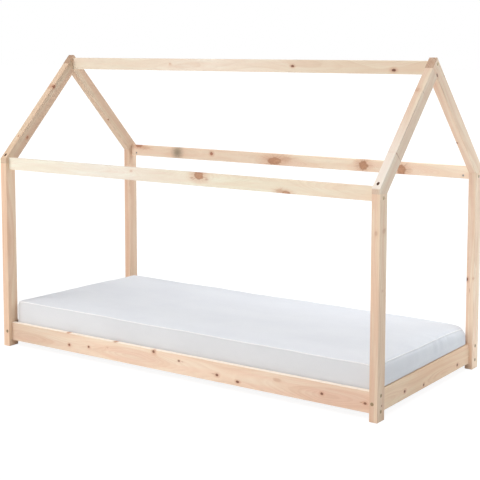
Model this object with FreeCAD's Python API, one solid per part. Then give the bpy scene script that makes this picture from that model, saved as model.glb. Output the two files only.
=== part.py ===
import FreeCAD, Part
import math
import os

V = FreeCAD.Vector

# House frame bed for a 90 x 200 cm mattress, in planed pine.  Millimetres.
# X runs along the bed (the camera-right gable end is +X), Y is the depth (the
# back is +Y), Z is up.  The origin is on the floor, in the middle of the
# footprint.

# ---------------------------------------------------------------- overall
BED_LENGTH = 2080.0          # outer faces of the gable frames
BED_WIDTH = 984.0            # outer faces of the posts
PEAK_Z = 1431.0              # ridge line of the rafters

# ---------------------------------------------------------------- posts and rafters
POST_X = 37.0                # section of posts and rafters, along the bed
POST_Y = 60.0                # section of posts and rafters, across the bed
POST_TOP = 908.0             # square-cut top, where the rafter foot sits
RAFTER_HEEL_Z = 932.0        # top of the short upright cut above the post
EASE = 1.6                   # radius of the eased arrises

# ---------------------------------------------------------------- rails
RAIL_T = 20.0                # thickness of every rail board
SIDE_RAIL_BOTTOM = 28.0
SIDE_RAIL_TOP = 118.0
EAVES_BOTTOM = 877.0
EAVES_TOP = 935.0
RIDGE_BOTTOM = 1359.0
RIDGE_TOP = 1417.0
RIDGE_Y = 2.0                # the ridge board sits a hair behind the peak line
END_RAIL_OUT = 1024.0        # outer face of the short rails

# ---------------------------------------------------------------- bed base
CLEAT = 20.0                 # square cleat under the slat ends
SLAT_N = 14
SLAT_W = 70.0
SLAT_T = 15.0
SLAT_L = 900.0
SLAT_EDGE = 995.0            # outer edge of the first and last slat

# ---------------------------------------------------------------- mattress
MATTRESS_L = 1996.0
MATTRESS_W = 896.0
MATTRESS_TOP = 210.0
MATTRESS_CORNER = 40.0       # plan radius of the corners
MATTRESS_EDGE = 18.0         # radius of the long top and bottom edges

# ---------------------------------------------------------------- fasteners
BOLT_D = 6.0
BOLT_HOLE = 6.6
HEAD_D = 14.5
HEAD_T = 2.0
HEAD_RECESS = 1.5
HEX_AF = 4.0
NUT_D = 10.0
NUT_L = 13.0
NUT_BACK = 36.0              # barrel nut axis from the end of its rail
DOWEL_D = 8.0
DOWEL_L = 30.0
FIT = 0.1                    # clearance of dowels and screws in their holes, on diameter

SIDE_BOLT_Z = (40.5, 105.5)
END_BOLT_Z = 74.0
END_BOLT_X = 1016.0
END_DOWEL_Z = (49.0, 99.0)
EAVES_BOLT_Z = 891.0
EAVES_DOWEL_Z = 921.0
RIDGE_BOLT_Y = 4.0
RIDGE_BOLT_Z = 1404.0
RIDGE_DOWEL_Z = 1374.0
FOOT_SCREW_Y = 476.0
FOOT_DOWEL_Y = 446.0

# ---------------------------------------------------------------- derived
HX = BED_LENGTH / 2.0
HY = BED_WIDTH / 2.0
XI = HX - POST_X                          # inner X face of posts and rafters
YI = HY - POST_Y                          # inner Y face of posts
PX = HX - POST_X / 2.0                    # centre of the post section
PY = HY - POST_Y / 2.0                    # centre line of posts and long rails
SLOPE = (PEAK_Z - RAFTER_HEEL_Z) / HY
DROP = POST_Y * math.sqrt(1.0 + SLOPE * SLOPE)     # rafter depth, measured plumb
LOW_Z = PEAK_Z - DROP                              # lower rafter edges cross here
SEAM_Y = DROP / (2.0 * SLOPE)                      # seam meets the front slope
SEAM_Z = PEAK_Z - SLOPE * SEAM_Y
SLAT_Z = SIDE_RAIL_BOTTOM + CLEAT
BED_Z = SLAT_Z + SLAT_T

X_AXIS = V(1, 0, 0)
Y_AXIS = V(0, 1, 0)
Z_AXIS = V(0, 0, 1)


def span(a, b):
    return (a, b) if a < b else (b, a)


def box(x0, x1, y0, y1, z0, z1):
    x0, x1 = span(x0, x1)
    y0, y1 = span(y0, y1)
    return Part.makeBox(x1 - x0, y1 - y0, z1 - z0, V(x0, y0, z0))


def rod(d, length, start, axis):
    return Part.makeCylinder(d / 2.0, length, start, axis)


def edges_along(shape, direction):
    """Straight edges that run along one direction."""
    found = []
    for e in shape.Edges:
        if len(e.Vertexes) != 2 or e.Curve.TypeId != "Part::GeomLine":
            continue
        t = e.Vertexes[1].Point.sub(e.Vertexes[0].Point)
        if t.Length > 1.0 and abs(abs(t.normalize().dot(direction)) - 1.0) < 1e-6:
            found.append(e)
    return found


def eased(shape, direction, radius=EASE):
    return shape.makeFillet(radius, edges_along(shape, direction))


def mirror_y(shape):
    return shape.mirror(V(0, 0, 0), V(0, 1, 0))


# ---------------------------------------------------------------- fastener solids
def bolt(length, face, inward):
    """Flat-headed furniture bolt.  face is the point where its axis meets the
    wood's surface, inward the unit vector along which it is driven.  The head
    sits in a shallow recess and stands HEAD_T - HEAD_RECESS proud."""
    seat = face + inward * HEAD_RECESS
    top = seat - inward * HEAD_T
    head = rod(HEAD_D, HEAD_T, top, inward)
    rim = [e for e in head.Edges
           if e.Curve.TypeId == "Part::GeomCircle"
           and abs((e.Curve.Center - top).Length) < 1e-6]
    head = head.makeFillet(0.7, rim)
    shank = rod(BOLT_D, length, seat - inward * 0.2, inward)
    body = head.fuse(shank)
    side = X_AXIS if abs(inward.dot(X_AXIS)) < 0.5 else Y_AXIS
    other = inward.cross(side)
    pts = []
    r = HEX_AF / math.sqrt(3.0)
    for i in range(7):
        a = math.radians(60 * i + 30)
        pts.append(top - inward * 1.0 + side * (r * math.cos(a)) + other * (r * math.sin(a)))
    hexagon = Part.Face(Part.makePolygon(pts)).extrude(inward * 2.6)
    return body.cut(hexagon).removeSplitter()


def bolt_hole(face, inward, depth):
    hole = rod(BOLT_HOLE, depth + 5.0, face - inward * 5.0, inward)
    recess = rod(HEAD_D + 0.5, HEAD_RECESS + 5.0, face - inward * 5.0, inward)
    return hole.fuse(recess)


def barrel_nut(axis_point, along, bolt_dir, toward_open):
    """Cylinder nut with a cross hole for the bolt.  axis_point is the crossing
    of both axes, along the nut's own axis, toward_open how far the nut reaches
    towards the open mouth of its hole."""
    start = axis_point - along * (NUT_L - toward_open)
    body = rod(NUT_D, NUT_L, start, along)
    cross = rod(BOLT_D + FIT, NUT_D + 4.0, axis_point - bolt_dir * (NUT_D / 2.0 + 2.0), bolt_dir)
    slot = Part.makeBox(1.2, 7.0, 1.0, V(-0.6, -3.5, -0.5))
    rot = FreeCAD.Rotation(Z_AXIS, along)
    slot.Placement = FreeCAD.Placement(start + along * NUT_L, rot)
    return body.cut(cross).cut(slot)


def nut_hole(axis_point, along, toward_open, mouth):
    """Blind hole for a barrel nut: from just behind the nut out through the face."""
    start = axis_point - along * (NUT_L - toward_open + 0.3)
    return rod(NUT_D + FIT, NUT_L - toward_open + 0.3 + mouth, start, along)


def wood_screw(point, inward, length, d, head_d, head_h):
    """Countersunk screw; point is the middle of its flat head."""
    head = Part.makeCone(head_d / 2.0, d / 2.0, head_h, point, inward)
    tip = length - 4.0
    shank = rod(d, tip - head_h, point + inward * head_h, inward)
    end = Part.makeCone(d / 2.0, 0.6, 4.0, point + inward * tip, inward)
    s = head.fuse([shank, end])
    side = X_AXIS if abs(inward.dot(X_AXIS)) < 0.5 else Y_AXIS
    other = inward.cross(side)
    w = head_d * 0.10
    for a, b in ((side, other), (other, side)):
        pts = [point - inward * 1.0 + a * (i * head_d * 0.27) + b * (j * w / 2.0)
               for i, j in ((-1, -1), (1, -1), (1, 1), (-1, 1), (-1, -1))]
        s = s.cut(Part.Face(Part.makePolygon(pts)).extrude(inward * (1.0 + head_h * 0.45)))
    return s.removeSplitter()


def screw_hole(point, inward, length, d, head_d, head_h, above=0.0):
    g = FIT / 2.0
    s = Part.makeCone(head_d / 2.0 + g, d / 2.0 + g, head_h, point, inward)
    s = s.fuse(rod(d + FIT, length - head_h + 0.3, point + inward * head_h, inward))
    if above:
        s = s.fuse(rod(head_d + FIT, above, point - inward * above, inward))
    return s


def dowel(centre, along):
    s = rod(DOWEL_D, DOWEL_L, centre - along * (DOWEL_L / 2.0), along)
    rims = [e for e in s.Edges if e.Curve.TypeId == "Part::GeomCircle"]
    return s.makeChamfer(1.0, rims)


def dowel_hole(centre, along):
    return rod(DOWEL_D + FIT, DOWEL_L + 1.0, centre - along * (DOWEL_L / 2.0 + 0.5), along)


# ---------------------------------------------------------------- where every fastener is
CORNERS = [(sx, sy) for sx in (-1, 1) for sy in (-1, 1)]
side_bolts, side_nuts, side_cuts = [], [], []
end_bolts, end_nuts, end_cuts = [], [], []
end_dowels = []
eaves_bolts, eaves_nuts, eaves_cuts = [], [], []
eaves_dowels, foot_dowels, dowel_cuts = [], [], []
foot_screws, foot_cuts = [], []

for sx, sy in CORNERS:
    inx = V(-sx, 0, 0)
    iny = V(0, -sy, 0)
    for z in SIDE_BOLT_Z:
        face = V(sx * HX, sy * PY, z)
        side_bolts.append(bolt(80.0, face, inx))
        side_cuts.append(bolt_hole(face, inx, 84.0))
        c = V(sx * (XI - NUT_BACK), sy * PY, z)
        side_nuts.append(barrel_nut(c, iny, inx, NUT_L / 2.0))
        side_cuts.append(nut_hole(c, iny, NUT_L / 2.0, 15.0))
    face = V(sx * END_BOLT_X, sy * HY, END_BOLT_Z)
    end_bolts.append(bolt(100.0, face, iny))
    end_cuts.append(bolt_hole(face, iny, 104.0))
    c = V(sx * END_BOLT_X, sy * (YI - NUT_BACK), END_BOLT_Z)
    end_nuts.append(barrel_nut(c, inx, iny, NUT_L - 4.5))
    end_cuts.append(nut_hole(c, inx, NUT_L - 4.5, 16.0))
    for z in END_DOWEL_Z:
        c = V(sx * (END_RAIL_OUT - RAIL_T / 2.0), sy * YI, z)
        end_dowels.append(dowel(c, Y_AXIS))
        dowel_cuts.append(dowel_hole(c, Y_AXIS))
    face = V(sx * HX, sy * PY, EAVES_BOLT_Z)
    eaves_bolts.append(bolt(80.0, face, inx))
    eaves_cuts.append(bolt_hole(face, inx, 84.0))
    c = V(sx * (XI - NUT_BACK), sy * PY, EAVES_BOLT_Z)
    eaves_nuts.append(barrel_nut(c, iny, inx, NUT_L / 2.0))
    eaves_cuts.append(nut_hole(c, iny, NUT_L / 2.0, 15.0))
    c = V(sx * XI, sy * PY, EAVES_DOWEL_Z)
    eaves_dowels.append(dowel(c, X_AXIS))
    dowel_cuts.append(dowel_hole(c, X_AXIS))
    c = V(sx * PX, sy * FOOT_DOWEL_Y, POST_TOP)
    foot_dowels.append(dowel(c, Z_AXIS))
    dowel_cuts.append(dowel_hole(c, Z_AXIS))
    c = V(sx * PX, sy * FOOT_SCREW_Y, 930.0)
    foot_screws.append(wood_screw(c, V(0, 0, -1), 80.0, 4.5, 9.0, 3.0))
    foot_cuts.append(screw_hole(c, V(0, 0, -1), 80.0, 4.5, 9.0, 3.0))
    foot_cuts.append(rod(11.0, 40.0, c, Z_AXIS))

ridge_bolts, ridge_nuts, ridge_cuts = [], [], []
ridge_dowels, apex_screws, apex_cuts = [], [], []
down = V(0, -1, -SLOPE).normalize()        # down the front rafter
for sx in (-1, 1):
    inx = V(-sx, 0, 0)
    face = V(sx * HX, RIDGE_BOLT_Y, RIDGE_BOLT_Z)
    ridge_bolts.append(bolt(80.0, face, inx))
    ridge_cuts.append(bolt_hole(face, inx, 84.0))
    c = V(sx * (XI - NUT_BACK), RIDGE_BOLT_Y, RIDGE_BOLT_Z)
    ridge_nuts.append(barrel_nut(c, Y_AXIS, inx, 4.6))
    ridge_cuts.append(nut_hole(c, Y_AXIS, 4.6, 12.0))
    c = V(sx * XI, RIDGE_Y, RIDGE_DOWEL_Z)
    ridge_dowels.append(dowel(c, X_AXIS))
    ridge_cuts.append(dowel_hole(c, X_AXIS))
    # one screw through the back rafter into the end of the front rafter
    m = V(sx * (PX + 1.0), -SEAM_Y / 2.0 + 2.2, (SEAM_Z + LOW_Z) / 2.0 - 2.1)
    t = (PEAK_Z - SLOPE * m.y - m.z) / (-down.z + SLOPE * -down.y)
    c = m - down * (t - 3.4)               # head sunk 3.4 mm below the slope
    apex_screws.append(wood_screw(c, down, 100.0, 4.5, 9.0, 3.0))
    apex_cuts.append(screw_hole(c, down, 100.0, 4.5, 9.0, 3.0, above=14.0))

SLAT_X = [-(SLAT_EDGE - SLAT_W / 2.0) + i * (2 * SLAT_EDGE - SLAT_W) / (SLAT_N - 1)
          for i in range(SLAT_N)]
CLEAT_Y = PY - RAIL_T / 2.0 - CLEAT / 2.0
cleat_screws, cleat_cuts, slat_screws, slat_cuts = [], [], [], []
for sy in (-1, 1):
    for x in (-900.0, -450.0, 0.0, 450.0, 900.0):
        c = V(x, sy * (CLEAT_Y - CLEAT / 2.0), SIDE_RAIL_BOTTOM + CLEAT / 2.0 - 2.0)
        cleat_screws.append(wood_screw(c, V(0, sy, 0), 35.0, 4.0, 8.0, 2.6))
        cleat_cuts.append(screw_hole(c, V(0, sy, 0), 35.0, 4.0, 8.0, 2.6))
    for x in SLAT_X:
        c = V(x, sy * CLEAT_Y, BED_Z)
        slat_screws.append(wood_screw(c, V(0, 0, -1), 30.0, 3.5, 7.0, 2.4))
        slat_cuts.append(screw_hole(c, V(0, 0, -1), 30.0, 3.5, 7.0, 2.4))


def drilled(shape, tools):
    """Cut only the tools whose boxes meet the shape's box."""
    hit = [t for t in tools if shape.BoundBox.intersect(t.BoundBox)]
    return shape.cut(hit) if hit else shape


# ---------------------------------------------------------------- posts
def post(sx, sy):
    s = box(sx * HX, sx * XI, sy * HY, sy * YI, 0.0, POST_TOP)
    s = eased(s, Z_AXIS)
    foot = [e for e in s.Edges
            if all(abs(v.Point.z) < 1e-6 for v in e.Vertexes)]
    s = s.makeChamfer(1.2, foot)
    return drilled(s, side_cuts + end_cuts + eaves_cuts + dowel_cuts + foot_cuts)


# ---------------------------------------------------------------- rafters
def rafter(sx, outline):
    x0, x1 = span(sx * HX, sx * XI)
    pts = [V(x0, y, z) for y, z in outline]
    s = Part.Face(Part.makePolygon(pts + [pts[0]])).extrude(V(x1 - x0, 0, 0))
    way = V(0, 1, SLOPE) if outline[0][0] < 0 else V(0, 1, -SLOPE)
    s = eased(s, way.normalize())
    return drilled(s, eaves_cuts + dowel_cuts + foot_cuts + ridge_cuts + apex_cuts)


BACK_OUTLINE = [(HY, POST_TOP), (HY, RAFTER_HEEL_Z), (0.0, PEAK_Z),
                (-SEAM_Y, SEAM_Z), ((LOW_Z - POST_TOP) / SLOPE, POST_TOP)]
FRONT_OUTLINE = [(-HY, POST_TOP), (-HY, RAFTER_HEEL_Z), (-SEAM_Y, SEAM_Z),
                 (0.0, LOW_Z), (-(LOW_Z - POST_TOP) / SLOPE, POST_TOP)]

nodes = {}
for sx, side in ((-1, "left"), (1, "right")):
    for sy, face in ((-1, "front"), (1, "back")):
        nodes["post_%s_%s" % (face, side)] = post(sx, sy)
    nodes["rafter_front_%s" % side] = rafter(sx, FRONT_OUTLINE)
    nodes["rafter_back_%s" % side] = rafter(sx, BACK_OUTLINE)

# ---------------------------------------------------------------- ridge and rails
ridge = eased(box(-XI, XI, RIDGE_Y - RAIL_T / 2.0, RIDGE_Y + RAIL_T / 2.0,
                  RIDGE_BOTTOM, RIDGE_TOP), X_AXIS)
nodes["ridge_beam"] = drilled(ridge, ridge_cuts)

for sy, face in ((-1, "front"), (1, "back")):
    y0, y1 = sy * (PY - RAIL_T / 2.0), sy * (PY + RAIL_T / 2.0)
    s = eased(box(-XI, XI, y0, y1, EAVES_BOTTOM, EAVES_TOP), X_AXIS)
    nodes["eaves_rail_%s" % face] = drilled(s, eaves_cuts + dowel_cuts)
    s = eased(box(-XI, XI, y0, y1, SIDE_RAIL_BOTTOM, SIDE_RAIL_TOP), X_AXIS)
    nodes["side_rail_%s" % face] = drilled(s, side_cuts + cleat_cuts)
    s = eased(box(-1000.0, 1000.0, sy * (CLEAT_Y - CLEAT / 2.0), sy * (CLEAT_Y + CLEAT / 2.0),
                  SIDE_RAIL_BOTTOM, SLAT_Z), X_AXIS, 1.0)
    nodes["slat_cleat_%s" % face] = drilled(s, cleat_cuts + slat_cuts)

for sx, side in ((-1, "left"), (1, "right")):
    s = eased(box(sx * END_RAIL_OUT, sx * (END_RAIL_OUT - RAIL_T), -YI, YI,
                  SIDE_RAIL_BOTTOM, SIDE_RAIL_TOP), Y_AXIS)
    nodes["end_rail_%s" % side] = drilled(s, end_cuts + dowel_cuts)

# ---------------------------------------------------------------- slats
for i, x in enumerate(SLAT_X):
    s = eased(box(x - SLAT_W / 2.0, x + SLAT_W / 2.0, -SLAT_L / 2.0, SLAT_L / 2.0,
                  SLAT_Z, BED_Z), Y_AXIS, 2.0)
    nodes["slat_%02d" % (i + 1)] = drilled(s, slat_cuts)

# ---------------------------------------------------------------- mattress
m = box(-MATTRESS_L / 2.0, MATTRESS_L / 2.0, -MATTRESS_W / 2.0, MATTRESS_W / 2.0,
        BED_Z, MATTRESS_TOP)
m = m.makeFillet(MATTRESS_CORNER, edges_along(m, Z_AXIS))
rim = [e for e in m.Edges
       if max(v.Point.z for v in e.Vertexes) - min(v.Point.z for v in e.Vertexes) < 1e-6]
nodes["mattress"] = m.makeFillet(MATTRESS_EDGE, rim)

# ---------------------------------------------------------------- fastener groups
groups = {
    "side_rail_bolts": side_bolts,
    "side_rail_barrel_nuts": side_nuts,
    "end_rail_bolts": end_bolts,
    "end_rail_barrel_nuts": end_nuts,
    "end_rail_dowels": end_dowels,
    "eaves_rail_bolts": eaves_bolts,
    "eaves_rail_barrel_nuts": eaves_nuts,
    "eaves_rail_dowels": eaves_dowels,
    "rafter_foot_dowels": foot_dowels,
    "rafter_foot_screws": foot_screws,
    "ridge_bolts": ridge_bolts,
    "ridge_barrel_nuts": ridge_nuts,
    "ridge_dowels": ridge_dowels,
    "apex_screws": apex_screws,
    "cleat_screws": cleat_screws,
    "slat_screws": slat_screws,
}
for name, solids in groups.items():
    nodes[name] = Part.makeCompound(solids)

os.makedirs("parts", exist_ok=True)
for name in sorted(nodes):
    shape = nodes[name]
    want = len(groups[name]) if name in groups else 1
    if len(shape.Solids) != want or not shape.isValid():
        raise RuntimeError("%s: %d solids, valid %s" % (name, len(shape.Solids), shape.isValid()))
    if want == 1:
        shape = shape.Solids[0]
    shape.exportStep("parts/%s.step" % name)
    b = shape.BoundBox
    print("%-24s %3d solids  X %8.1f..%8.1f  Y %7.1f..%7.1f  Z %7.1f..%7.1f"
          % (name, want, b.XMin, b.XMax, b.YMin, b.YMax, b.ZMin, b.ZMax))
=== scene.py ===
"""House frame bed in pale pine, with its mattress: surfaces, soft goods, light and camera.

Everything is in metres, in the frame of the construction model: +X to the right, +Y to the back, +Z up.
"""

import math

import bmesh
import bpy
import numpy as np
from mathutils import Matrix, Vector


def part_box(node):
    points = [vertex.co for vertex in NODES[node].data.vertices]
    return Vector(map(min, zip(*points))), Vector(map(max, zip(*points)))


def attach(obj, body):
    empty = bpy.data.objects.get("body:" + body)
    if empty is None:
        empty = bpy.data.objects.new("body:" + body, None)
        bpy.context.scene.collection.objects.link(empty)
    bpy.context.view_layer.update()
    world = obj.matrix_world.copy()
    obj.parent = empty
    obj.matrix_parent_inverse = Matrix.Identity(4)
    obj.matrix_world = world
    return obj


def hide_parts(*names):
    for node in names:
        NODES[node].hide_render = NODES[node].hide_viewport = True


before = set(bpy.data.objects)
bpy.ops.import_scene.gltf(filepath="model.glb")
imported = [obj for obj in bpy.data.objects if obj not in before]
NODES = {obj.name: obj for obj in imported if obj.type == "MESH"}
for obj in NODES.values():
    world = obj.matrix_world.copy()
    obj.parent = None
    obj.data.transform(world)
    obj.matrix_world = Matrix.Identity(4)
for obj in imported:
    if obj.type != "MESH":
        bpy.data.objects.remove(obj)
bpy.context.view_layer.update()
scene = bpy.context.scene

# ------------------------------------------------------------------ sizes shared with the frame
HX, HY = 1.040, 0.492            # outer faces of the posts
SLOPE = (1.431 - 0.932) / 0.492  # rafters
SN = math.sqrt(1.0 + SLOPE * SLOPE)
UP_FRONT = (0.0, 1.0 / SN, SLOPE / SN)
UP_BACK = (0.0, -1.0 / SN, SLOPE / SN)
OUT_FRONT = (0.0, -SLOPE / SN, 1.0 / SN)
OUT_BACK = (0.0, SLOPE / SN, 1.0 / SN)


def srgb(r, g, b, a=1.0):
    def lin(c):
        c /= 255.0
        return c / 12.92 if c <= 0.04045 else ((c + 0.055) / 1.055) ** 2.4
    return (lin(r), lin(g), lin(b), a)


# ------------------------------------------------------------------ node helper
class Tree:
    """Short names for the shader nodes used below."""

    def __init__(self, name):
        self.mat = bpy.data.materials.new(name)
        self.mat.use_nodes = True
        self.t = self.mat.node_tree
        self.t.nodes.clear()
        self.out = self.t.nodes.new("ShaderNodeOutputMaterial")
        self.bsdf = self.t.nodes.new("ShaderNodeBsdfPrincipled")
        self.t.links.new(self.bsdf.outputs[0], self.out.inputs[0])
        coord = self.t.nodes.new("ShaderNodeTexCoord")
        self.p = coord.outputs["Object"]
        self.n = self.t.nodes.new("ShaderNodeNewGeometry").outputs["Normal"]

    def put(self, socket, value):
        if isinstance(value, bpy.types.NodeSocket):
            self.t.links.new(value, socket)
        else:
            socket.default_value = value

    def math(self, op, a, b=None, c=None, clamp=False):
        n = self.t.nodes.new("ShaderNodeMath")
        n.operation, n.use_clamp = op, clamp
        for i, v in enumerate((a, b, c)):
            if v is not None:
                self.put(n.inputs[i], v)
        return n.outputs[0]

    def vec(self, op, a, b=None, scale=None):
        n = self.t.nodes.new("ShaderNodeVectorMath")
        n.operation = op
        self.put(n.inputs[0], a)
        if b is not None:
            self.put(n.inputs[1], b)
        if scale is not None:
            self.put(n.inputs["Scale"], scale)
        return n.outputs["Value" if op in ("DOT_PRODUCT", "LENGTH", "DISTANCE") else "Vector"]

    def xyz(self, x, y, z):
        n = self.t.nodes.new("ShaderNodeCombineXYZ")
        for i, v in enumerate((x, y, z)):
            self.put(n.inputs[i], v)
        return n.outputs[0]

    def split(self, v):
        n = self.t.nodes.new("ShaderNodeSeparateXYZ")
        self.put(n.inputs[0], v)
        return n.outputs[0], n.outputs[1], n.outputs[2]

    def noise(self, vector, detail=0.0, rough=0.5, seed=0.0, lac=2.0):
        """3-D noise, 0 to 1 about 0.5. The vector carries the scale."""
        n = self.t.nodes.new("ShaderNodeTexNoise")
        n.noise_dimensions = "3D"
        v = self.vec("ADD", vector, (seed * 7.31, seed * 3.17, seed * 5.53)) if seed else vector
        self.put(n.inputs["Vector"], v)
        self.put(n.inputs["Scale"], 1.0)
        self.put(n.inputs["Detail"], detail)
        self.put(n.inputs["Roughness"], rough)
        self.put(n.inputs["Lacunarity"], lac)
        return n.outputs[0]

    def noise1(self, w, detail=0.0):
        n = self.t.nodes.new("ShaderNodeTexNoise")
        n.noise_dimensions = "1D"
        self.put(n.inputs["W"], w)
        self.put(n.inputs["Scale"], 1.0)
        self.put(n.inputs["Detail"], detail)
        return n.outputs[0]

    def ramp(self, v, a, b, lo=0.0, hi=1.0, kind="SMOOTHSTEP"):
        n = self.t.nodes.new("ShaderNodeMapRange")
        n.interpolation_type = kind
        n.clamp = True
        self.put(n.inputs["Value"], v)
        for k, x in zip(("From Min", "From Max", "To Min", "To Max"), (a, b, lo, hi)):
            self.put(n.inputs[k], x)
        return n.outputs[0]

    def mix(self, fac, a, b, kind="MIX"):
        n = self.t.nodes.new("ShaderNodeMix")
        n.data_type, n.blend_type, n.clamp_factor = "RGBA", kind, True
        self.put(n.inputs[0], fac)
        self.put(n.inputs[6], a)
        self.put(n.inputs[7], b)
        return n.outputs[2]

    def bump(self, height, distance, strength=1.0, normal=None):
        n = self.t.nodes.new("ShaderNodeBump")
        self.put(n.inputs["Height"], height)
        n.inputs["Distance"].default_value = distance
        n.inputs["Strength"].default_value = strength
        if normal is not None:
            self.put(n.inputs["Normal"], normal)
        return n.outputs[0]


# ------------------------------------------------------------------ pine
# kind: core colour, rim colour, how much of the wood it covers, how far the grain bends round it
KNOTS = {
    "dark": (srgb(124, 74, 54), srgb(92, 50, 36), 0.92, 0.9),
    "brown": (srgb(172, 108, 80), srgb(128, 74, 54), 0.86, 1.0),
    "red": (srgb(196, 140, 104), srgb(154, 98, 66), 0.82, 1.1),
    "faint": (srgb(214, 172, 142), srgb(196, 146, 114), 0.55, 0.8),
    "grey": (srgb(132, 118, 98), srgb(148, 132, 110), 0.80, 0.2),
    "streak": (srgb(186, 130, 100), srgb(204, 152, 122), 0.60, 0.2),
    "line": (srgb(152, 104, 80), srgb(126, 82, 62), 0.72, 0.0),
    # painted shade on the walls of the deep screw holes at the rafter feet
    "bore_shade": (srgb(112, 74, 54), srgb(96, 62, 44), 0.95, 0.0),
}


def pine(name, centre, axis, side, third, pith, seed, ring=5.0, heart=46.0, tone_and_painted_light=(1.0, 1.0, 1.0),
         contrast=1.0, knots=(), end=1.0, repeat=None, faces=None, pale=None):
    """Pine cut from a log. The grain runs along axis; the pith lies at (side, third) = pith, in mm from the centre.
    Growth rings, knots and the pale outer wood are all solid, so the faces and the ends of a piece agree."""
    k = Tree(name)
    rel = k.vec("SCALE", k.vec("SUBTRACT", k.p, tuple(centre)), scale=1000.0)
    u, v, w = k.vec("DOT_PRODUCT", rel, axis), k.vec("DOT_PRODUCT", rel, side), k.vec("DOT_PRODUCT", rel, third)
    shift = seed * 911.0
    if repeat:                                   # equal boards side by side, each from its own place in the log
        step, first = repeat
        i = k.math("ROUND", k.math("DIVIDE", k.math("SUBTRACT", v, first), step))
        v = k.math("SUBTRACT", k.math("SUBTRACT", v, first), k.math("MULTIPLY", i, step))
        u = k.math("ADD", u, k.math("MULTIPLY", i, 1733.0))
        w = k.math("ADD", w, k.math("MULTIPLY", k.math("SINE", k.math("MULTIPLY", i, 2.4)), 9.0))
        v = k.math("ADD", v, k.math("MULTIPLY", k.math("SINE", k.math("MULTIPLY", i, 4.1)), 22.0))
    us = k.math("ADD", u, shift)
    q = k.xyz(u, v, w)
    qs = k.xyz(us, v, w)

    # slow wander of the pith along the log, and the waver of the rings
    wv = k.math("MULTIPLY", k.math("SUBTRACT", k.noise1(k.math("DIVIDE", us, 620.0)), 0.5), 46.0)
    ww = k.math("MULTIPLY", k.math("SUBTRACT", k.noise1(k.math("ADD", k.math("DIVIDE", us, 540.0), 51.7)), 0.5), 40.0)
    dv = k.math("SUBTRACT", k.math("SUBTRACT", v, pith[0]), wv)
    dw = k.math("SUBTRACT", k.math("SUBTRACT", w, pith[1]), ww)
    radius = k.vec("LENGTH", k.xyz(dv, dw, 0.0))
    waver = k.math("SUBTRACT", k.noise(k.vec("MULTIPLY", qs, (1 / 280.0, 1 / 34.0, 1 / 34.0)), 1.0), 0.5)
    fine = k.math("SUBTRACT", k.noise(k.vec("MULTIPLY", qs, (1 / 70.0, 1 / 5.0, 1 / 5.0)), 1.0, seed=1.0), 0.5)
    radius = k.math("ADD", radius, k.math("ADD", k.math("MULTIPLY", waver, 6.0), k.math("MULTIPLY", fine, 0.9)))

    # knots: each is a branch that leaves the pith, so its axis is radial
    made = []
    ragged = k.math("SUBTRACT", k.noise(k.vec("MULTIPLY", q, (1 / 9.0, 1 / 6.0, 1 / 6.0)), 2.0, seed=2.0), 0.5)
    a3, s3, t3 = Vector(axis), Vector(side), Vector(third)
    for (x, y, z, size, stretch, kind, *lean) in knots:
        d = (Vector((x, y, z)) / 1000.0 - Vector(centre)) * 1000.0
        c = Vector((d.dot(a3), d.dot(s3), d.dot(t3)))
        if lean:
            way = Vector((Vector(lean[0]).dot(a3), Vector(lean[0]).dot(s3), Vector(lean[0]).dot(t3))).normalized()
        else:                                    # nearly square to the face it lies on
            (s0, s1), (t0, t1) = faces
            near = min((c.y - s0, (0, -1, 0)), (s1 - c.y, (0, 1, 0)), (c.z - t0, (0, 0, -1)), (t1 - c.z, (0, 0, 1)))
            way = Vector((0.0, c.y - pith[0], c.z - pith[1])).normalized()
            way = (Vector(near[1]) + 0.22 * (way if way.dot(Vector(near[1])) > 0 else -way)).normalized()
        e = k.vec("SUBTRACT", q, tuple(c))
        along = k.vec("DOT_PRODUCT", e, tuple(way))
        off = k.vec("SUBTRACT", e, k.vec("SCALE", tuple(way), scale=along))
        dist = k.vec("LENGTH", k.vec("MULTIPLY", off, (1.0 / stretch, 1.0, 1.0)))
        t = k.math("DIVIDE", dist, size)
        if kind != "bore_shade":                       # this kind paints shade on the wall of a deep screw hole, with a clean edge
            t = k.math("ADD", t, k.math("MULTIPLY", ragged, 0.60))
        spoke = None
        if size >= 9.0 and kind in ("brown", "red", "faint"):       # a big knot is lobed, and its fibres run out like rays
            turn = k.vec("ADD", k.vec("SCALE", k.vec("NORMALIZE", off), scale=1.7), tuple(c * 0.37))
            lobe = k.math("SUBTRACT", k.noise(turn, 1.0), 0.5)
            t = k.math("ADD", t, k.math("MULTIPLY", lobe, 0.75))
            spoke = k.noise(k.vec("ADD", k.vec("SCALE", k.vec("NORMALIZE", off), scale=6.5), tuple(c * 0.61)), 2.0, 0.6)
        core, rim, cover, flow = KNOTS[kind]
        reach = k.math("POWER", 2.718, k.math("MULTIPLY", k.math("MULTIPLY", t, t), -0.16))
        radius = k.math("SUBTRACT", radius, k.math("MULTIPLY", reach, size * flow))
        made.append((t, dist, spoke, size, kind, core, rim, cover))

    # growth rings: pale early wood darkens slowly to a thin late line, then starts again
    width = k.math("MULTIPLY", k.noise1(k.math("ADD", k.math("DIVIDE", radius, 19.0), seed)), 3.0)
    phase = k.math("FRACT", k.math("ADD", k.math("DIVIDE", radius, ring), width))
    late = k.math("MULTIPLY", k.ramp(phase, 0.22, 0.88), k.ramp(phase, 1.0, 0.90))
    strong = k.ramp(k.noise(k.vec("MULTIPLY", qs, (1 / 420.0, 1 / 34.0, 1 / 34.0)), 1.0, seed=3.0), 0.30, 0.72, 0.30, 1.0)
    late = k.math("MULTIPLY", late, strong)

    # the ends: open grain, darker
    face = k.math("ABSOLUTE", k.vec("DOT_PRODUCT", k.n, axis))
    cut = k.math("MULTIPLY", k.ramp(face, 0.58, 0.97), end)

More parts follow.
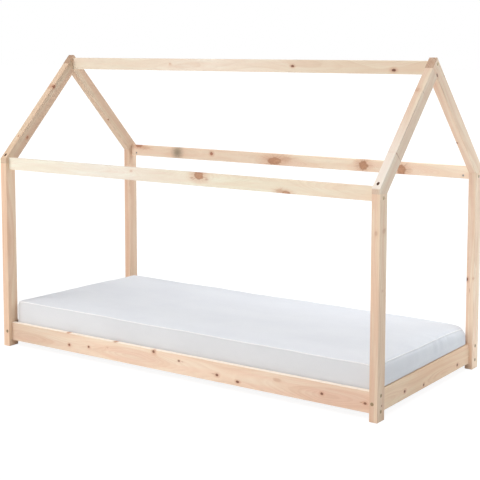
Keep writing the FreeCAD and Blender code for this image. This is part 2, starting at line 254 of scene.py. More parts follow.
    edge = k.math("ADD", radius, k.math("MULTIPLY", waver, 16.0))
    sap = k.ramp(edge, heart - 9.0, heart + 9.0)
    colour = k.mix(sap, srgb(238, 202, 176), srgb(246, 218, 191))
    blush = k.noise(k.vec("MULTIPLY", qs, (1 / 260.0, 1 / 22.0, 1 / 22.0)), 2.0, seed=4.0)
    colour = k.mix(k.ramp(blush, 0.42, 0.74, 0.0, 0.50), colour, srgb(242, 203, 177))
    colour = k.mix(k.ramp(blush, 0.30, 0.52, 0.40, 0.0), colour, srgb(248, 228, 204))
    stripe = k.noise1(k.math("ADD", k.math("DIVIDE", radius, 12.0), seed * 3.7), 1.0)
    colour = k.mix(k.math("MULTIPLY", k.ramp(stripe, 0.42, 0.68), 0.34 * contrast), colour, srgb(226, 181, 148))
    colour = k.mix(k.math("MULTIPLY", late, 0.32 * contrast), colour, srgb(213, 164, 130))
    fibre = k.noise(k.vec("MULTIPLY", qs, (1 / 34.0, 1 / 0.8, 1 / 0.8)), 2.0, 0.6, seed=5.0)
    colour = k.mix(k.ramp(fibre, 0.34, 0.70, 0.0, 0.14), colour, srgb(230, 189, 156))
    pore = k.noise(k.vec("MULTIPLY", qs, (1 / 15.0, 1 / 0.9, 1 / 0.9)), 0.0, seed=6.0)
    pore = k.ramp(pore, 0.70, 0.80)
    colour = k.mix(k.math("MULTIPLY", pore, 0.20), colour, srgb(196, 150, 118))
    cutring = k.math("ADD", 0.34, k.math("MULTIPLY", late, 0.60))
    colour = k.mix(k.math("MULTIPLY", cut, cutring), colour, srgb(160, 116, 88))
    colour = k.mix(k.math("MULTIPLY", cut, 0.42), colour, srgb(188, 148, 122))
    if isinstance(tone_and_painted_light, list):                   # the wood's own tone and painted light: paler, darker or bluer towards one end, partly painted shade where a piece lies in shade and painted highlight where light falls strongest: (place along the grain, factor)
        shade = (*tone_and_painted_light[0][1], 1.0)
        for (u0, _), (u1, factor) in zip(tone_and_painted_light, tone_and_painted_light[1:]):
            shade = k.mix(k.ramp(u, u0, u1), shade, (*factor, 1.0))
        colour = k.mix(1.0, colour, shade, "MULTIPLY")
    # one factor over the whole piece: the wood's tone, with painted shade on some pieces and painted highlight on
    # others
    elif tone_and_painted_light != (1.0, 1.0, 1.0):
        colour = k.mix(1.0, colour, (*tone_and_painted_light, 1.0), "MULTIPLY")

    if pale:                                     # painted highlight: a whitish strip on the outer face along side and a narrow edge of the faces beside it, fading along the grain: (depth, cover, colour, fades from, to)
        depth, cover, painted_highlight_colour, u0, u1 = pale
        painted_highlight_mask = k.ramp(v, faces[0][1] - depth, faces[0][1] - 0.6, 0.0, cover)
        colour = k.mix(k.math("MULTIPLY", painted_highlight_mask, k.ramp(u, u0, u1, 1.0, 0.0)), colour, painted_highlight_colour)

    # the knots' own colour, over everything
    lift = k.math("MULTIPLY", late, 0.35)
    rough = k.math("SUBTRACT", 0.62, k.math("MULTIPLY", late, 0.07))
    for t, dist, spoke, size, kind, core, rim, cover in made:
        if kind in ("streak", "line"):
            body = k.ramp(t, 1.0, 0.1)
        # painted shade on the wall of a deep screw hole
        elif kind == "bore_shade":
            body = k.ramp(t, 1.06, 0.98)
        elif kind == "grey":
            body = k.ramp(t, 1.9, 0.1)
        elif kind == "faint":
            body = k.ramp(t, 1.35, 0.45)
        else:
            body = k.ramp(t, 1.22, 0.78)
        if kind in ("dark", "brown"):
            colour = k.mix(k.ramp(t, 2.9, 0.9, 0.0, 0.50), colour, srgb(206, 146, 112))
        elif kind == "red":
            colour = k.mix(k.ramp(t, 3.0, 0.9, 0.0, 0.42), colour, srgb(218, 172, 140))
        elif kind != "bore_shade":
            colour = k.mix(k.ramp(t, 3.0, 0.8, 0.0, 0.12), colour, srgb(216, 170, 138))
        inner = k.mix(k.ramp(t, 0.35, 1.0), core, k.mix(0.55, core, rim))
        if size >= 6.0 and kind in ("dark", "brown", "red", "faint"):
            circle = k.math("FRACT", k.math("ADD", k.math("DIVIDE", dist, max(1.6, size * 0.17)), k.math("MULTIPLY", ragged, 2.2)))
            inner = k.mix(k.ramp(circle, 0.25, 0.95, 0.0, 0.55), inner, rim)
        if spoke is not None:
            rays = k.math("MULTIPLY", k.ramp(spoke, 0.50, 0.66), k.ramp(t, 2.7, 0.9))
            colour = k.mix(k.math("MULTIPLY", rays, 0.55), colour, k.mix(0.45, core, rim))
            crack = k.math("MULTIPLY", k.ramp(k.math("ABSOLUTE", k.math("SUBTRACT", spoke, 0.47)), 0.022, 0.0), k.ramp(t, 1.0, 0.4))
            inner = k.mix(k.math("MULTIPLY", crack, 0.7), inner, srgb(116, 70, 50))
            pale = k.math("MULTIPLY", k.ramp(spoke, 0.46, 0.34), k.ramp(t, 0.95, 0.5))
            inner = k.mix(k.math("MULTIPLY", pale, 0.45), inner, srgb(224, 178, 146))
        band = k.math("MULTIPLY", k.ramp(t, 0.72, 0.95), k.ramp(t, 1.15, 0.98))
        band = k.math("MULTIPLY", band, k.ramp(ragged, -0.06, 0.10, 0.15, 0.8))
        inner = k.mix(band, inner, rim)
        if kind == "dark":
            inner = k.mix(k.ramp(t, 0.60, 0.1, 0.0, 0.45), inner, srgb(78, 44, 34))
        colour = k.mix(k.math("MULTIPLY", body, cover), colour, inner)
        if kind in ("dark", "brown", "red"):
            lift = k.math("ADD", lift, k.math("MULTIPLY", body, 0.8))
            rough = k.math("SUBTRACT", rough, k.math("MULTIPLY", body, 0.10))

    height = k.math("ADD", lift, k.math("MULTIPLY", fibre, 0.9))
    height = k.math("SUBTRACT", height, k.math("MULTIPLY", pore, 0.8))
    height = k.math("ADD", height, k.math("MULTIPLY", cut, k.math("MULTIPLY", fine, 1.2)))
    k.put(k.bsdf.inputs["Base Color"], colour)
    k.put(k.bsdf.inputs["Roughness"], rough)
    k.put(k.bsdf.inputs["Normal"], k.bump(height, 0.00010, 0.28))
    k.bsdf.inputs["Specular IOR Level"].default_value = 0.35
    return k.mat


X, Y, Z = (1.0, 0.0, 0.0), (0.0, 1.0, 0.0), (0.0, 0.0, 1.0)


def centre(node):
    lo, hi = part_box(node)
    return (lo + hi) / 2


def sides(node, side, third):
    """How far the piece's faces lie from its centre, in mm, along side and along third."""
    out, mid = [], centre(node)
    for way in (side, third):
        d = [(v.co - mid).dot(Vector(way)) * 1000.0 for v in NODES[node].data.vertices]
        out.append((min(d), max(d)))
    return out


# piece: grain, side, third, pith, seed, more. The tone factors in more carry painted light as well as the wood's tone:
# painted shade on the left gable's pieces, low on the front right post and at both ends of the front side rail; a
# painted paler, bluer highlight and sheen on the ridge, the eaves rails, the right-hand rafters and the back right
# post.
WOOD = {
    "post_front_left": (Z, X, Y, (-30.0, -32.0), 1.0, dict(heart=46.0, tone_and_painted_light=(0.98, 0.99, 0.98))),
    "post_front_right": (Z, X, Y, (-30.0, -32.0), 2.0, dict(heart=48.0, tone_and_painted_light=[(-330, (0.88, 0.90, 0.91)), (260, (1.03, 1.09, 1.11))], knots=(
        (1024, -492, 755, 6.0, 1.6, "faint", (0.45, 1.0, 0.2)),
        (1040, -461, 526, 5.0, 1.2, "faint"),
        (1040, -456, 63, 2.6, 1.2, "dark", (1, 0, 0))))),
    "post_back_left": (Z, X, Y, (-34.0, -30.0), 3.0, dict(heart=44.0, tone_and_painted_light=(0.92, 0.92, 0.92))),
    "post_back_right": (Z, X, Y, (-36.0, -18.0), 4.0, dict(heart=42.0, tone_and_painted_light=(1.03, 1.09, 1.14), knots=(
        (1004, 432, 418, 6.5, 1.2, "dark"),
        (1036, 432, 425, 5.0, 1.2, "faint"),
        (1019, 432, 367, 3.0, 6.0, "streak")))),
    "rafter_front_left": (UP_FRONT, OUT_FRONT, X, (-46.0, -8.0), 5.0, dict(heart=48.0, tone_and_painted_light=(0.87, 0.90, 0.89), knots=(
        (-1003, -152, 1271, 6.5, 1.5, "brown"),
        (-1003, -345, 1026, 5.0, 1.5, "brown", (1.0, 0.0, 0.0)),
        (-1017, -390, 1035, 3.2, 1.2, "brown", (0.0, -0.7, 0.7)),
        (-1021.5, -476.0, 950, 5.9, 1.0, "bore_shade", (0.0, 0.0, 1.0))))),
    # the front right rafter: pale paints a highlight on the lower part of its sloping face, and its bluer tone is
    # partly painted sheen
    "rafter_front_right": (UP_FRONT, OUT_FRONT, X, (-20.0, -44.0), 6.0, dict(heart=60.0, contrast=0.8, end=1.25, pale=(5.0, 0.70, srgb(251, 243, 234), -250, 150),
                           tone_and_painted_light=[(-200, (1.0, 1.12, 1.20)), (300, (0.96, 1.05, 1.11))], knots=(
        (1014, -128, 1301, 9.0, 1.2, "faint"),
        (1040, -127, 1290, 12.0, 0.16, "line", (1.0, 0.0, 0.0)),
        (1040, -342.7, 1042.9, 26.0, 0.10, "line", (1.0, 0.0, 0.0)),
        (1040, -358, 1057.0, 2.4, 1.0, "brown", (1.0, 0.0, 0.0)),
        (1040, -230, 1193, 1.8, 120.0, "line", (1.0, 0.0, 0.0)),
        (1021.5, -476.0, 950, 5.9, 1.0, "bore_shade", (0.0, 0.0, 1.0))))),
    "rafter_back_left": (UP_BACK, OUT_BACK, X, (38.0, 22.0), 7.0, dict(heart=40.0, tone_and_painted_light=(0.83, 0.85, 0.84), knots=(
        (-1004, 261, 1082, 3.4, 1.2, "dark", (0.8, -0.4, -0.4)),
        (-1021.5, 476.0, 950, 5.9, 1.0, "bore_shade", (0.0, 0.0, 1.0))))),
    "rafter_back_right": (UP_BACK, OUT_BACK, X, (-34.0, -40.0), 8.0, dict(heart=44.0, tone_and_painted_light=(1.0, 1.06, 1.10), knots=(
        (1006, 288, 1053.4, 3.6, 1.2, "dark", (0.2, -0.7, -0.7)),
        (1040, 60, 1290, 2.0, 44.0, "line", (1.0, 0.0, 0.0)),
        (1040, 0, 1357, 4.6, 1.8, "dark", (1.0, 0.0, 0.0)),
        (1021.5, 476.0, 950, 5.9, 1.0, "bore_shade", (0.0, 0.0, 1.0))))),
    "ridge_beam": (X, Z, Y, (6.0, 48.0), 9.0, dict(heart=50.0, contrast=0.7, tone_and_painted_light=[(-800, (0.98, 1.16, 1.28)), (-100, (1.04, 1.23, 1.40)), (600, (0.95, 1.07, 1.13))], knots=(
        (-367, -8, 1392, 5.0, 1.3, "faint"),
        (334, -8, 1388, 5.0, 1.6, "dark"),
        (842, -8, 1376, 6.0, 1.7, "dark")))),
    "eaves_rail_front": (X, Z, Y, (14.0, 44.0), 10.0, dict(heart=40.0, contrast=0.4, tone_and_painted_light=[(-800, (1.0, 1.25, 1.42)), (-400, (1.0, 1.23, 1.45)), (350, (1.0, 1.20, 1.29)), (850, (1.02, 1.14, 1.20))], knots=(
        (152, -472, 922, 15.0, 1.60, "red"),
        (152, -472, 934, 5.0, 9.0, "streak", (0.0, 1.0, 0.0)),
        (113, -472, 910, 6.0, 2.6, "streak"),
        (194, -472, 908, 7.0, 2.0, "streak"),
        (597, -472, 879, 8.5, 2.4, "red"),
        (566, -472, 886, 9.0, 2.2, "faint"),
        (-227, -472, 918, 5.0, 1.8, "faint")))),
    "eaves_rail_back": (X, Z, Y, (-10.0, 42.0), 11.0, dict(heart=46.0, contrast=0.75, tone_and_painted_light=[(-300, (0.95, 1.0, 1.04)), (200, (1.03, 1.14, 1.20)), (870, (1.10, 1.22, 1.30))], knots=(
        (-949, 452, 933, 10.0, 2.2, "brown"),
        (-900, 452, 922, 9.0, 3.0, "faint"),
        (-682, 452, 908, 27.0, 1.05, "grey", (0.22, 1.0, 0.30)),
        (-455, 452, 914, 8.2, 1.1, "brown"),
        (-59, 452, 899, 18.0, 2.1, "red"),
        (10, 452, 912, 12.0, 2.6, "faint"),
        (452, 452, 906, 22.0, 1.10, "red"),
        (652, 452, 900, 21.0, 1.3, "red")))),
    # the front side rail: pale paints a highlight along its top edge, and its darker tone at both ends is painted shade
    "side_rail_front": (X, Z, Y, (-8.0, 52.0), 12.0, dict(heart=58.0, contrast=0.8, pale=(3.2, 0.85, srgb(253, 243, 230), 2000, 3000), tone_and_painted_light=[(-950, (0.84, 0.88, 0.92)), (-350, (1.01, 1.07, 1.13)), (200, (1.02, 1.07, 1.13)), (900, (0.92, 0.92, 0.96))], knots=(
        (-620, -472, 61, 5.2, 1.15, "dark"),
        (-496, -472, 70, 4.4, 1.15, "dark"),
        (-627, -472, 119.5, 3.8, 2.4, "red", (0.0, 1.0, 0.0)),
        (-333, -472, 119.5, 3.8, 2.4, "red", (0.0, 1.0, 0.0)),
        (-379, -472, 84, 4.0, 1.4, "faint"),
        (-104, -472, 108, 6.2, 1.15, "dark"),
        (40, -472, 88, 3.4, 1.5, "dark"),
        (58, -472, 87, 2.6, 4.0, "streak"),
        (-96, -472, 124, 3.2, 2.0, "faint"),
        (248, -472, 59, 5.6, 1.4, "dark"),
        (228, -472, 61, 3.0, 4.5, "streak"),
        (357, -472, 47, 5.2, 1.6, "dark"),
        (557, -472, 90, 8.0, 2.6, "faint"),
        (775, -472, 69, 5.2, 1.2, "dark"),
        (974.5, -472, 65, 4.6, 1.5, "dark"),
        (956, -472, 66, 3.0, 4.0, "streak")))),
    "side_rail_back": (X, Z, Y, (10.0, -50.0), 13.0, dict(heart=54.0, knots=(
        (-710, 472, 82, 5.0, 1.2, "dark"),
        (-180, 472, 58, 8.0, 1.3, "red"),
        (390, 472, 96, 4.5, 1.2, "dark"),
        (690, 472, 66, 6.0, 1.5, "faint")))),
    "end_rail_left": (Y, Z, X, (12.0, 50.0), 14.0, dict(heart=52.0, knots=(
        (-1024, -190, 62, 5.0, 1.2, "dark"),
        (-1024, 160, 92, 6.0, 1.3, "faint")))),
    "end_rail_right": (Y, Z, X, (-20.0, -50.0), 15.0, dict(heart=50.0, tone_and_painted_light=[(-350, (1.0, 1.05, 1.04)), (100, (0.92, 0.88, 0.83)), (400, (0.96, 0.96, 0.94))], knots=(
        (1024, 302, 50, 5.4, 1.2, "dark"),
        (1024, -43, 43, 5.0, 1.2, "dark"),
        (1024, -222, 60, 5.8, 1.2, "dark")))),
    "slat_cleat_front": (X, Z, Y, (30.0, 26.0), 16.0, dict(heart=30.0)),
    "slat_cleat_back": (X, Z, Y, (-28.0, -24.0), 17.0, dict(heart=30.0)),
}
for node, (grain, side, third, pith, seed, more) in WOOD.items():
    mat = pine("pine_" + node, centre(node), grain, side, third, pith, seed, faces=sides(node, side, third), **more)
    NODES[node].data.materials.clear()
    NODES[node].data.materials.append(mat)

SLATS = sorted(n for n in NODES if n.startswith("slat_") and n[5:].isdigit())
xs = [centre(n).x for n in SLATS]
mid = Vector((0.0, 0.0, centre(SLATS[0]).z))
slat_mat = pine("pine_slats", mid, Y, X, Z, (0.0, -40.0), 18.0, ring=5.0, heart=44.0, contrast=1.15,
                tone_and_painted_light=(0.97, 0.96, 0.93), repeat=((xs[-1] - xs[0]) / (len(xs) - 1) * 1000.0, xs[0] * 1000.0))
for node in SLATS:
    NODES[node].data.materials.clear()
    NODES[node].data.materials.append(slat_mat)


# ------------------------------------------------------------------ metal and dowels
def metal(name, base, tint, rough, grain=900.0, bump=0.00004):
    k = Tree(name)
    cloud = k.noise(k.vec("SCALE", k.p, scale=420.0), 2.0, 0.6)
    speck = k.noise(k.vec("SCALE", k.p, scale=grain * 3.0), 3.0, 0.7, seed=1.0)
    colour = k.mix(k.ramp(cloud, 0.35, 0.68), base, tint)
    colour = k.mix(k.ramp(speck, 0.62, 0.80, 0.0, 0.4), colour, srgb(96, 84, 60))
    k.put(k.bsdf.inputs["Base Color"], colour)
    k.bsdf.inputs["Metallic"].default_value = 1.0
    k.put(k.bsdf.inputs["Roughness"], k.ramp(speck, 0.2, 0.8, rough - 0.06, rough + 0.12))
    k.put(k.bsdf.inputs["Normal"], k.bump(speck, bump, 0.5))
    return k.mat


def beech(name):
    k = Tree(name)
    mm = k.vec("SCALE", k.p, scale=1000.0)
    fleck = k.noise(k.vec("MULTIPLY", mm, (0.9, 0.9, 0.9)), 3.0, 0.6)
    line = k.noise(k.vec("MULTIPLY", mm, (0.25, 2.4, 2.4)), 1.0, seed=2.0)
    colour = k.mix(k.ramp(line, 0.35, 0.7), srgb(214, 176, 134), srgb(196, 152, 110))
    colour = k.mix(k.ramp(fleck, 0.6, 0.75, 0.0, 0.6), colour, srgb(164, 116, 80))
    k.put(k.bsdf.inputs["Base Color"], colour)
    k.put(k.bsdf.inputs["Roughness"], k.ramp(fleck, 0.3, 0.7, 0.5, 0.65))
    k.put(k.bsdf.inputs["Normal"], k.bump(line, 0.0001, 0.6))
    return k.mat


yellow = metal("zinc_yellow", srgb(176, 154, 122), srgb(146, 128, 104), 0.38)
steel = metal("zinc_steel", srgb(186, 188, 190), srgb(160, 163, 168), 0.36)
screw = metal("zinc_screw", srgb(198, 180, 128), srgb(176, 168, 138), 0.38)
black = metal("zinc_dark", srgb(58, 48, 42), srgb(44, 40, 36), 0.55)
peg = beech("beech_dowel")
for node in NODES:
    use = None
    if node.endswith("_bolts"):
        use = yellow
    elif node == "rafter_foot_screws":
        use = black
    elif node.endswith("_barrel_nuts"):
        use = steel
    elif node.endswith("_screws"):
        use = screw
    elif node.endswith("_dowels"):
        use = peg
    if use:
        NODES[node].data.materials.clear()
        NODES[node].data.materials.append(use)


# ------------------------------------------------------------------ mattress
def fabric(name, light=srgb(227, 229, 234), dark=srgb(223, 225, 231)):
    k = Tree(name)
    mm = k.vec("SCALE", k.p, scale=1000.0)
    x, y, z = k.split(mm)
    pitch = 2.0 * math.pi / 1.5
    sx, sy, sz = (k.math("SINE", k.math("MULTIPLY", c, pitch)) for c in (x, y, z))
    knit = k.math("ADD", k.math("MULTIPLY", sx, sy), k.math("ADD", k.math("MULTIPLY", sy, sz), k.math("MULTIPLY", sz, sx)))
    slub = k.noise(k.vec("MULTIPLY", mm, (1 / 2.2, 1 / 9.0, 1 / 4.0)), 3.0, 0.6)
    cloud = k.noise(k.vec("MULTIPLY", mm, (1 / 240.0, 1 / 150.0, 1 / 120.0)), 3.0, 0.55, seed=3.0)
    colour = k.mix(k.ramp(cloud, 0.30, 0.72), dark, light)
    colour = k.mix(k.ramp(slub, 0.45, 0.80, 0.0, 0.22), colour, srgb(212, 214, 220))
    k.put(k.bsdf.inputs["Base Color"], colour)
    k.put(k.bsdf.inputs["Roughness"], k.ramp(slub, 0.3, 0.7, 0.86, 0.96))
    k.bsdf.inputs["Sheen Weight"].default_value = 0.18
    k.bsdf.inputs["Sheen Roughness"].default_value = 0.45
    k.bsdf.inputs["Specular IOR Level"].default_value = 0.2
    height = k.math("ADD", k.math("MULTIPLY", knit, 0.35), slub)
    k.put(k.bsdf.inputs["Normal"], k.bump(height, 0.00035, 0.5))
    return k.mat


def graded(half, fine, step):
    """Grid lines from -half to half: close together at the ends, even between them."""
    n = max(2, round((half - fine[-1]) * 2 / step))
    inner = np.linspace(-(half - fine[-1]), half - fine[-1], n + 1)
    outer = np.array([half - f for f in fine[:-1]])
    return np.concatenate([-outer, inner, outer[::-1]])


def box_grid(xs, ys, zs):
    """The surface of a box as quads, on the given grid lines. Returns points, faces, and the loops of its top and bottom edges."""
    nx, ny, nz = len(xs), len(ys), len(zs)
    index, pts = {}, []

    def at(i, j, m):
        key = (i, j, m)
        if key not in index:
            index[key] = len(pts)
            pts.append((xs[i], ys[j], zs[m]))
        return index[key]

    faces = []
    for i in range(nx - 1):
        for j in range(ny - 1):
            faces.append((at(i, j, 0), at(i, j + 1, 0), at(i + 1, j + 1, 0), at(i + 1, j, 0)))
            m = nz - 1
            faces.append((at(i, j, m), at(i + 1, j, m), at(i + 1, j + 1, m), at(i, j + 1, m)))
    for m in range(nz - 1):
        for i in range(nx - 1):
            faces.append((at(i, 0, m), at(i + 1, 0, m), at(i + 1, 0, m + 1), at(i, 0, m + 1)))
            j = ny - 1
            faces.append((at(i, j, m), at(i, j, m + 1), at(i + 1, j, m + 1), at(i + 1, j, m)))
        for j in range(ny - 1):
            faces.append((at(0, j, m), at(0, j, m + 1), at(0, j + 1, m + 1), at(0, j + 1, m)))
            i = nx - 1
            faces.append((at(i, j, m), at(i, j + 1, m), at(i, j + 1, m + 1), at(i, j, m + 1)))
    loops = []
    for m in (nz - 1, 0):
        ring = [index[(i, 0, m)] for i in range(nx - 1)] + [index[(nx - 1, j, m)] for j in range(ny - 1)]
        ring += [index[(i, ny - 1, m)] for i in range(nx - 1, 0, -1)] + [index[(0, j, m)] for j in range(ny - 1, 0, -1)]
        loops.append(ring)
    return np.array(pts), faces, loops


def smooth(t):
    t = np.clip(t, 0.0, 1.0)
    return t * t * (3.0 - 2.0 * t)


LO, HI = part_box("mattress")
MA, MB = (HI.x - LO.x) / 2 + 0.002, (HI.y - LO.y) / 2 + 0.0015
MZ0, MZ1 = LO.z + 0.001, HI.z + 0.001
RAIL_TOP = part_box("side_rail_front")[1].z


def mattress_shape(p):
    """Rounds the box: a crisp front edge, rounder at the back and at both ends, and rounded upright corners."""
    x, y, z = p[:, 0].copy(), p[:, 1].copy(), p[:, 2].copy()
    zc = (MZ0 + MZ1) / 2
    h = (MZ1 - MZ0) / 2
    top = (z > zc)
    r = np.full(len(x), 0.012)
    r = np.where(top, 0.0065 + 0.0195 * smooth((y / MB - 0.2) / 0.8) + 0.019 * smooth((np.abs(x) / MA - 0.93) / 0.07), r)
    e = np.minimum(MA - np.abs(x), MB - np.abs(y))
    s = np.clip((r - e) / r, 0, 1)
    t = np.clip((np.abs(z - zc) - (h - r)) / r, 0, 1)
    f = np.where(np.hypot(s, t) > 1e-9, np.maximum(s, t) / np.maximum(np.hypot(s, t), 1e-9), 1.0)
    e2 = np.where(s > 0, r * (1 - s * f), e)
    z2 = np.where(t > 0, zc + np.sign(z - zc) * (h - r + r * t * f), z)
    x *= (MA - e2) / np.maximum(MA - e, 1e-9)
    y *= (MB - e2) / np.maximum(MB - e, 1e-9)
    R = 0.022
    a = np.clip((np.abs(x) - (MA - R)) / R, 0, None)
    b = np.clip((np.abs(y) - (MB - R)) / R, 0, None)
    g = np.maximum(a, b) / np.maximum(np.hypot(a, b), 1e-9)
    both = (a > 0) & (b > 0)
    x = np.where(both, np.sign(x) * (MA - R + R * a * g), x)
    y = np.where(both, np.sign(y) * (MB - R + R * b * g), y)
    return np.stack([x, y, z2], 1)


def new_mesh(name, pts, faces, mat):
    me = bpy.data.meshes.new(name)
    me.from_pydata([tuple(p) for p in pts], [], faces)
    me.update()
    ob = bpy.data.objects.new(name, me)
    scene.collection.objects.link(ob)
    me.materials.append(mat)
    me.polygons.foreach_set("use_smooth", [True] * len(me.polygons))
    return ob


def get_co(me):
    co = np.zeros(len(me.vertices) * 3)
    me.vertices.foreach_get("co", co)
    return co.reshape(-1, 3)


def set_co(me, co):
    me.vertices.foreach_set("co", np.asarray(co, float).ravel())
    me.update()


def waves(p, seed, count, scale):
    """A fixed sum of sines: smooth and the same each run."""
    rng = np.random.RandomState(seed)
    out = np.zeros(len(p))
    for _ in range(count):
        k = rng.normal(size=2)
        k = k / np.hypot(*k) * 2 * math.pi / (scale * rng.uniform(0.6, 1.6))
        out += np.sin(p[:, 0] * k[0] + p[:, 1] * k[1] + rng.uniform(0, 6.28))
    return out / math.sqrt(count)


FINE = (0.0, 0.0025, 0.005, 0.008, 0.012, 0.017, 0.024, 0.033, 0.045)
levels = (MZ0 + MZ1) / 2 + graded((MZ1 - MZ0) / 2, (0.0, 0.0025, 0.005, 0.008, 0.012, 0.017, 0.024), 0.013)
levels = [z for z in levels if abs(z - RAIL_TOP - 0.0015) > 0.007]      # closer rows where it turns out over the rails
levels = np.array(sorted([*levels, *(RAIL_TOP + d for d in (-0.006, -0.001, 0.0010, 0.0020, 0.0046, 0.0085))]))
pts, faces, rings = box_grid(graded(MA, FINE, 0.0145), graded(MB, FINE, 0.0145), levels)
rest = mattress_shape(pts)
cover = fabric("cover_white")
# the top cover and the border differ only in tint: painted cool light on the top
border = fabric("cover_border", srgb(228, 229, 232), srgb(224, 225, 228))
# the piping is whiter than the cover: a painted highlight along the sewn edges
trim = fabric("cover_piping", srgb(250, 250, 251), srgb(246, 246, 248))
mattress = new_mesh("mattress_padded", rest, faces, cover)
mattress.data.materials.append(border)           # the border panel round the sides is a copy of the cover a touch less blue: the top's bluer tint is painted cool light from above
for poly in mattress.data.polygons:
    if abs(poly.normal.y) > 0.75 and abs(poly.center.y) > MB - 0.03:
        poly.material_index = 1


def simulate(ob, pinned, pressure, frames, cap):
    """Cloth under slight pressure, held where pinned is 1. Returns the new points, none further than cap from where it was."""
    start = get_co(ob.data)
    group = ob.vertex_groups.new(name="held")
    for w in np.unique(np.round(pinned, 2)):
        if w > 0:
            group.add([int(i) for i in np.where(np.round(pinned, 2) == w)[0]], float(w), "REPLACE")
    mod = ob.modifiers.new("Cloth", "CLOTH")
    s = mod.settings
    s.quality = 4
    s.mass = 0.25
    s.tension_stiffness = s.compression_stiffness = 22.0
    s.shear_stiffness = 8.0
    s.bending_stiffness = 3.0
    s.use_pressure = True
    s.uniform_pressure_force = pressure
    s.vertex_group_mass = "held"
    s.pin_stiffness = 2.0
    s.effector_weights.gravity = 0.0
    mod.collision_settings.use_collision = False
    mod.point_cache.frame_start, mod.point_cache.frame_end = 1, frames
    old = scene.frame_current
    for f in range(1, frames + 1):
        scene.frame_set(f)
    dg = bpy.context.evaluated_depsgraph_get()
    got = get_co(ob.evaluated_get(dg).to_mesh())
    ob.evaluated_get(dg).to_mesh_clear()
    ob.modifiers.remove(mod)
    scene.frame_set(old)
    move = got - start
    size = np.linalg.norm(move, axis=1)
    move *= (cap / np.maximum(cap, size))[:, None] if np.isscalar(cap) else (cap / np.maximum(cap, size))[:, None]
    return start + move


co = get_co(mattress.data)
low = 1.0 - smooth((co[:, 2] - (MZ0 + 0.02)) / 0.05)
cap = 0.0015 + 0.0045 * smooth((co[:, 2] - 0.10) / 0.05)
co = simulate(mattress, np.clip(low, 0, 1), 4.0, 16, cap)

# above the rails nothing holds it in: it swells over their top edges, most at the right end, between the posts
ax, ay, z = np.abs(co[:, 0]), np.abs(co[:, 1]), rest[:, 2]
above = z > RAIL_TOP + 0.0015
co[:, 2] = np.where(above, np.maximum(co[:, 2], RAIL_TOP + 0.0017 + 0.3 * (z - RAIL_TOP - 0.0020)), co[:, 2])
co[:, 2] = np.where(~above, np.minimum(co[:, 2], RAIL_TOP + 0.0010), co[:, 2])
high = 1.0 - 0.30 * smooth((z - 0.165) / 0.045)
over = np.where(above, 0.86 + 0.14 * smooth((z - RAIL_TOP) / 0.012), 0.0) * high
gentle = smooth((z - (RAIL_TOP + 0.004)) / 0.035) * high
by_side = 1.0 - smooth((MB - ay) / 0.05)
by_end = 1.0 - smooth((MA - ax) / 0.06)
between = smooth((0.4275 - ay) / 0.016)
reach = np.where(co[:, 0] > 0, 0.0215, 0.006)
co[:, 1] += np.sign(co[:, 1]) * 0.0025 * gentle * by_side
co[:, 0] += np.sign(co[:, 0]) * (reach * between + 0.0005) * over * by_end

# how it lies: a little higher along the front, its surface gently uneven, gathers where the cover turns down at the right end
upper = smooth((co[:, 2] - 0.120) / 0.085)
lie = 0.0045 - 0.0065 * (co[:, 1] / MB) - 0.0020 * (co[:, 0] / MA)
lie += 0.0011 * waves(co, 4, 9, 0.42) + 0.0005 * waves(co, 7, 12, 0.16)
inner = smooth(np.minimum(MA - np.abs(co[:, 0]), MB - np.abs(co[:, 1])) / 0.14)
crown = 0.0035 * inner
lie -= 0.0050 * smooth((co[:, 0] - 0.70) / 0.30) * smooth((co[:, 1] - 0.10) / 0.34)
co[:, 2] += upper * (lie + crown)
at_end = smooth((co[:, 0] - (MA - 0.075)) / 0.06)
band = np.exp(-((co[:, 1] - 0.13) / 0.20) ** 2) * at_end * smooth((co[:, 2] - 0.135) / 0.05)
fold = np.sin(co[:, 1] * 2 * math.pi / 0.047 + 1.4 * np.sin(co[:, 1] * 31.0)) * 0.6 + np.sin(co[:, 1] * 2 * math.pi / 0.083 + 0.7) * 0.5
co[:, 0] += 0.0026 * band * fold
co[:, 2] += 0.0020 * band * fold

# clear of the wood all round
low = ~above
co[:, 1] = np.where(low, np.clip(co[:, 1], -0.4506, 0.4506), co[:, 1])
tight = low | (np.abs(co[:, 1]) > 0.4290)
co[:, 0] = np.where(tight, np.clip(co[:, 0], -1.0020, 1.0020), co[:, 0])
set_co(mattress.data, co)

sub = mattress.modifiers.new("Smooth", "SUBSURF")
sub.levels = sub.render_levels = 1


